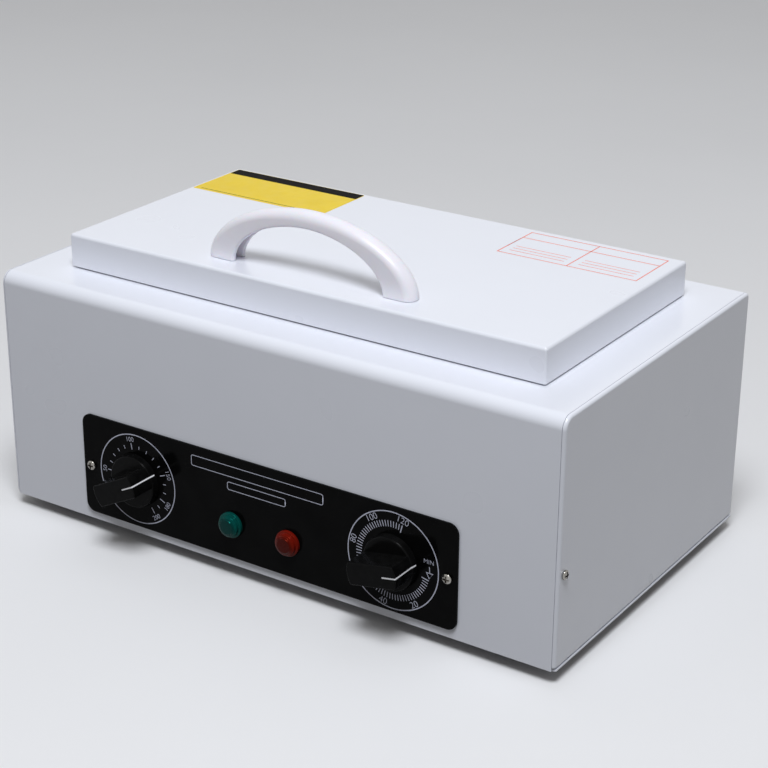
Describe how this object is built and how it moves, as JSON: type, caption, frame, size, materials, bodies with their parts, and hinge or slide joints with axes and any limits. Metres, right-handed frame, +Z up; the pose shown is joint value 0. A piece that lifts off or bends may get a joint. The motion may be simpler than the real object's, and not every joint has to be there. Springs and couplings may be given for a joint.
{
  "type": "dry heat sterilizer",
  "caption": "Bench dry heat sterilizer: box cabinet, rear hinged lid with arch handle over a heated chamber with lift-out tray, and a dial panel with temperature and timer knobs.",
  "frame": {"origin": "under the middle of the whole instrument, on the surface that its feet stand on", "axes": "+X to the operator's right, +Y to the back, +Z up"},
  "size_m": [0.374, 0.241, 0.2062],
  "materials": {
    "white_paint": "gloss powder coat",
    "panel_gloss": "gloss black",
    "stainless": "satin",
    "zinc_steel": "zinc plated",
    "chrome_screw": "polished",
    "black_rubber": "matt",
    "mineral_wool": "matt",
    "silicone": "satin",
    "white_plastic": "semi gloss",
    "black_plastic": "semi gloss",
    "ceramic": "satin",
    "lens_green": "translucent",
    "lens_red": "translucent",
    "brass": "satin",
    "wire_brown": "satin",
    "wire_blue": "satin",
    "wire_white": "satin"
  },
  "bodies": {
    "cabinet": {"base_plate": "white_paint", "chamber_tub": "stainless", "chamber_wool": "mineral_wool", "control_panel": "panel_gloss", "foot_front_left": "black_rubber", "foot_front_right": "black_rubber", "foot_rear_left": "black_rubber", "foot_rear_right": "black_rubber", "foot_screw_front_left": "zinc_steel", "foot_screw_front_right": "zinc_steel", "foot_screw_rear_left": "zinc_steel", "foot_screw_rear_right": "zinc_steel", "heat_shield": "zinc_steel", "heater_strap_left": "stainless", "heater_strap_right": "stainless", "heating_element": "stainless", "hinge_leaf_fixed_left": "zinc_steel", "hinge_leaf_fixed_right": "zinc_steel", "inlet_blade_earth": "brass", "inlet_blade_live": "brass", "inlet_blade_neutral": "brass", "inlet_screw_left": "chrome_screw", "inlet_screw_right": "chrome_screw", "lamp_body_green": "black_plastic", "lamp_body_red": "black_plastic", "lamp_lens_green": "lens_green", "lamp_lens_red": "lens_red", "panel_screw_left": "chrome_screw", "panel_screw_right": "chrome_screw", "power_inlet": "black_plastic", "side_panel_left": "white_paint", "side_panel_right": "white_paint", "side_screw_left": "chrome_screw", "side_screw_right": "chrome_screw", "terminal_block": "ceramic", "thermal_cutout": "black_plastic", "thermostat_body": "black_plastic", "thermostat_bulb": "brass", "thermostat_capillary": "brass", "timer_body": "black_plastic", "wire_heater": "wire_white", "wire_live": "wire_brown", "wire_neutral": "wire_blue", "wrap_cover": "white_paint"},
    "lid": {"lid_shell": "white_paint", "lid_liner": "stainless", "lid_wool": "mineral_wool", "lid_seal": "silicone", "lid_handle": "white_plastic", "handle_screw_left": "zinc_steel", "handle_screw_right": "zinc_steel", "hinge_leaf_lid_left": "zinc_steel", "hinge_leaf_lid_right": "zinc_steel", "hinge_pin_left": "stainless", "hinge_pin_right": "stainless"},
    "temperature_control": {"temperature_knob": "black_plastic", "temperature_shaft": "stainless"},
    "timer_control": {"timer_knob": "black_plastic", "timer_shaft": "stainless"},
    "tray": {"instrument_tray": "stainless"}
  },
  "joints": [
    {"name": "lid_hinge", "type": "hinge", "parent": "cabinet", "child": "lid", "pos_m": [0, 0.09325, 0.1521], "axis": [-1, 0, 0], "range_deg": [0, 100]},
    {"name": "temperature_turn", "type": "hinge", "parent": "cabinet", "child": "temperature_control", "pos_m": [-0.0872, -0.1098, 0.0435], "axis": [0, 1, 0], "range_deg": [-180, 84]},
    {"name": "timer_turn", "type": "hinge", "parent": "cabinet", "child": "timer_control", "pos_m": [0.0872, -0.1098, 0.0435], "axis": [0, 1, 0], "range_deg": [0, 295]},
    {"name": "tray_lift", "type": "slide", "parent": "cabinet", "child": "tray", "axis": [0, 0, 1], "range_m": [0, 0.04]}
  ]
}
